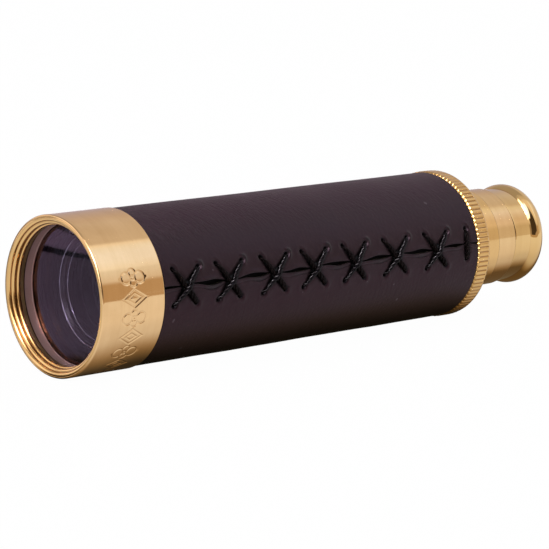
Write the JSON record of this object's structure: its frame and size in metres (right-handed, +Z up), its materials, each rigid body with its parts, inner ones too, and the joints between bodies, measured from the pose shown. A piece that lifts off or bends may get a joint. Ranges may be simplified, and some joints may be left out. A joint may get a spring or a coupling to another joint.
{
  "type": "pocket telescope",
  "caption": "Pocket telescope with a laced leather sleeve and nested draw tubes that slide out of a brass barrel, with an objective, an erecting relay and an eyepiece.",
  "frame": {"origin": "on the optical axis, half way between the front rim of the objective bezel and the rear edge of the eyepiece cup, with all draws pushed in", "axes": "+X along the optical axis from the objective to the eyepiece, +Z up with the telescope lying on its side, the leather's laced seam facing -Y"},
  "size_m": [0.1398, 0.036, 0.035],
  "materials": {
    "polished_brass": "turned and polished, lacquered, lightly toned by age",
    "drawn_brass": "drawn tube, fine polish",
    "leather_sleeve": "dark brown, fine grain, semi-matte",
    "lacing_cord": "waxed black braided cord",
    "felt_ring": "pressed wool felt",
    "blackened_metal": "matt black",
    "coated_glass": "polished, purple anti-reflection coating",
    "optical_glass": "polished"
  },
  "bodies": {
    "barrel": {"objective_bezel": "polished_brass", "objective_seat_ring": "blackened_metal", "objective_crown_lens": "coated_glass", "objective_flint_lens": "coated_glass", "objective_retaining_ring": "blackened_metal", "barrel_tube": "polished_brass", "leather_wrap": "leather_sleeve", "cross_stitch_1": "lacing_cord", "cross_stitch_2": "lacing_cord", "cross_stitch_3": "lacing_cord", "cross_stitch_4": "lacing_cord", "cross_stitch_5": "lacing_cord", "cross_stitch_6": "lacing_cord", "cross_stitch_7": "lacing_cord", "end_stitch": "lacing_cord", "knurled_collar": "polished_brass", "barrel_guide_bush": "polished_brass"},
    "friction_1": {"friction_ring_1": "felt_ring"},
    "draw_1": {"draw_tube_1": "drawn_brass", "stop_ring_1": "polished_brass", "ferrule_1": "polished_brass", "guide_bush_1": "polished_brass"},
    "friction_2": {"friction_ring_2": "felt_ring"},
    "draw_2": {"draw_tube_2": "drawn_brass", "stop_ring_2": "polished_brass", "ferrule_2": "polished_brass", "guide_bush_2": "polished_brass"},
    "friction_3": {"friction_ring_3": "felt_ring"},
    "eyepiece_draw": {"draw_tube_3": "drawn_brass", "stop_ring_3": "polished_brass", "eyepiece_cup": "polished_brass", "eye_lens": "optical_glass", "eyepiece_spacer": "blackened_metal", "field_stop": "blackened_metal", "field_lens": "optical_glass", "eyepiece_retaining_ring": "blackened_metal", "erector_cell": "blackened_metal", "erector_ring_front": "blackened_metal", "erector_lens_front": "optical_glass", "erector_stop": "blackened_metal", "erector_lens_rear": "optical_glass", "erector_ring_rear": "blackened_metal"}
  },
  "joints": [
    {"name": "draw_1_slide", "type": "slide", "parent": "barrel", "child": "friction_1", "axis": [1, 0, 0], "range_m": [0, 0.074]},
    {"name": "draw_1_turn", "type": "hinge", "parent": "friction_1", "child": "draw_1", "pos_m": [-0.05775, 0, 0], "axis": [1, 0, 0], "continuous": true},
    {"name": "draw_2_slide", "type": "slide", "parent": "draw_1", "child": "friction_2", "axis": [1, 0, 0], "range_m": [0, 0.074]},
    {"name": "draw_2_turn", "type": "hinge", "parent": "friction_2", "child": "draw_2", "pos_m": [-0.05495, 0, 0], "axis": [1, 0, 0], "continuous": true},
    {"name": "draw_3_slide", "type": "slide", "parent": "draw_2", "child": "friction_3", "axis": [1, 0, 0], "range_m": [0, 0.074]},
    {"name": "draw_3_turn", "type": "hinge", "parent": "friction_3", "child": "eyepiece_draw", "pos_m": [-0.05295, 0, 0], "axis": [1, 0, 0], "continuous": true}
  ]
}
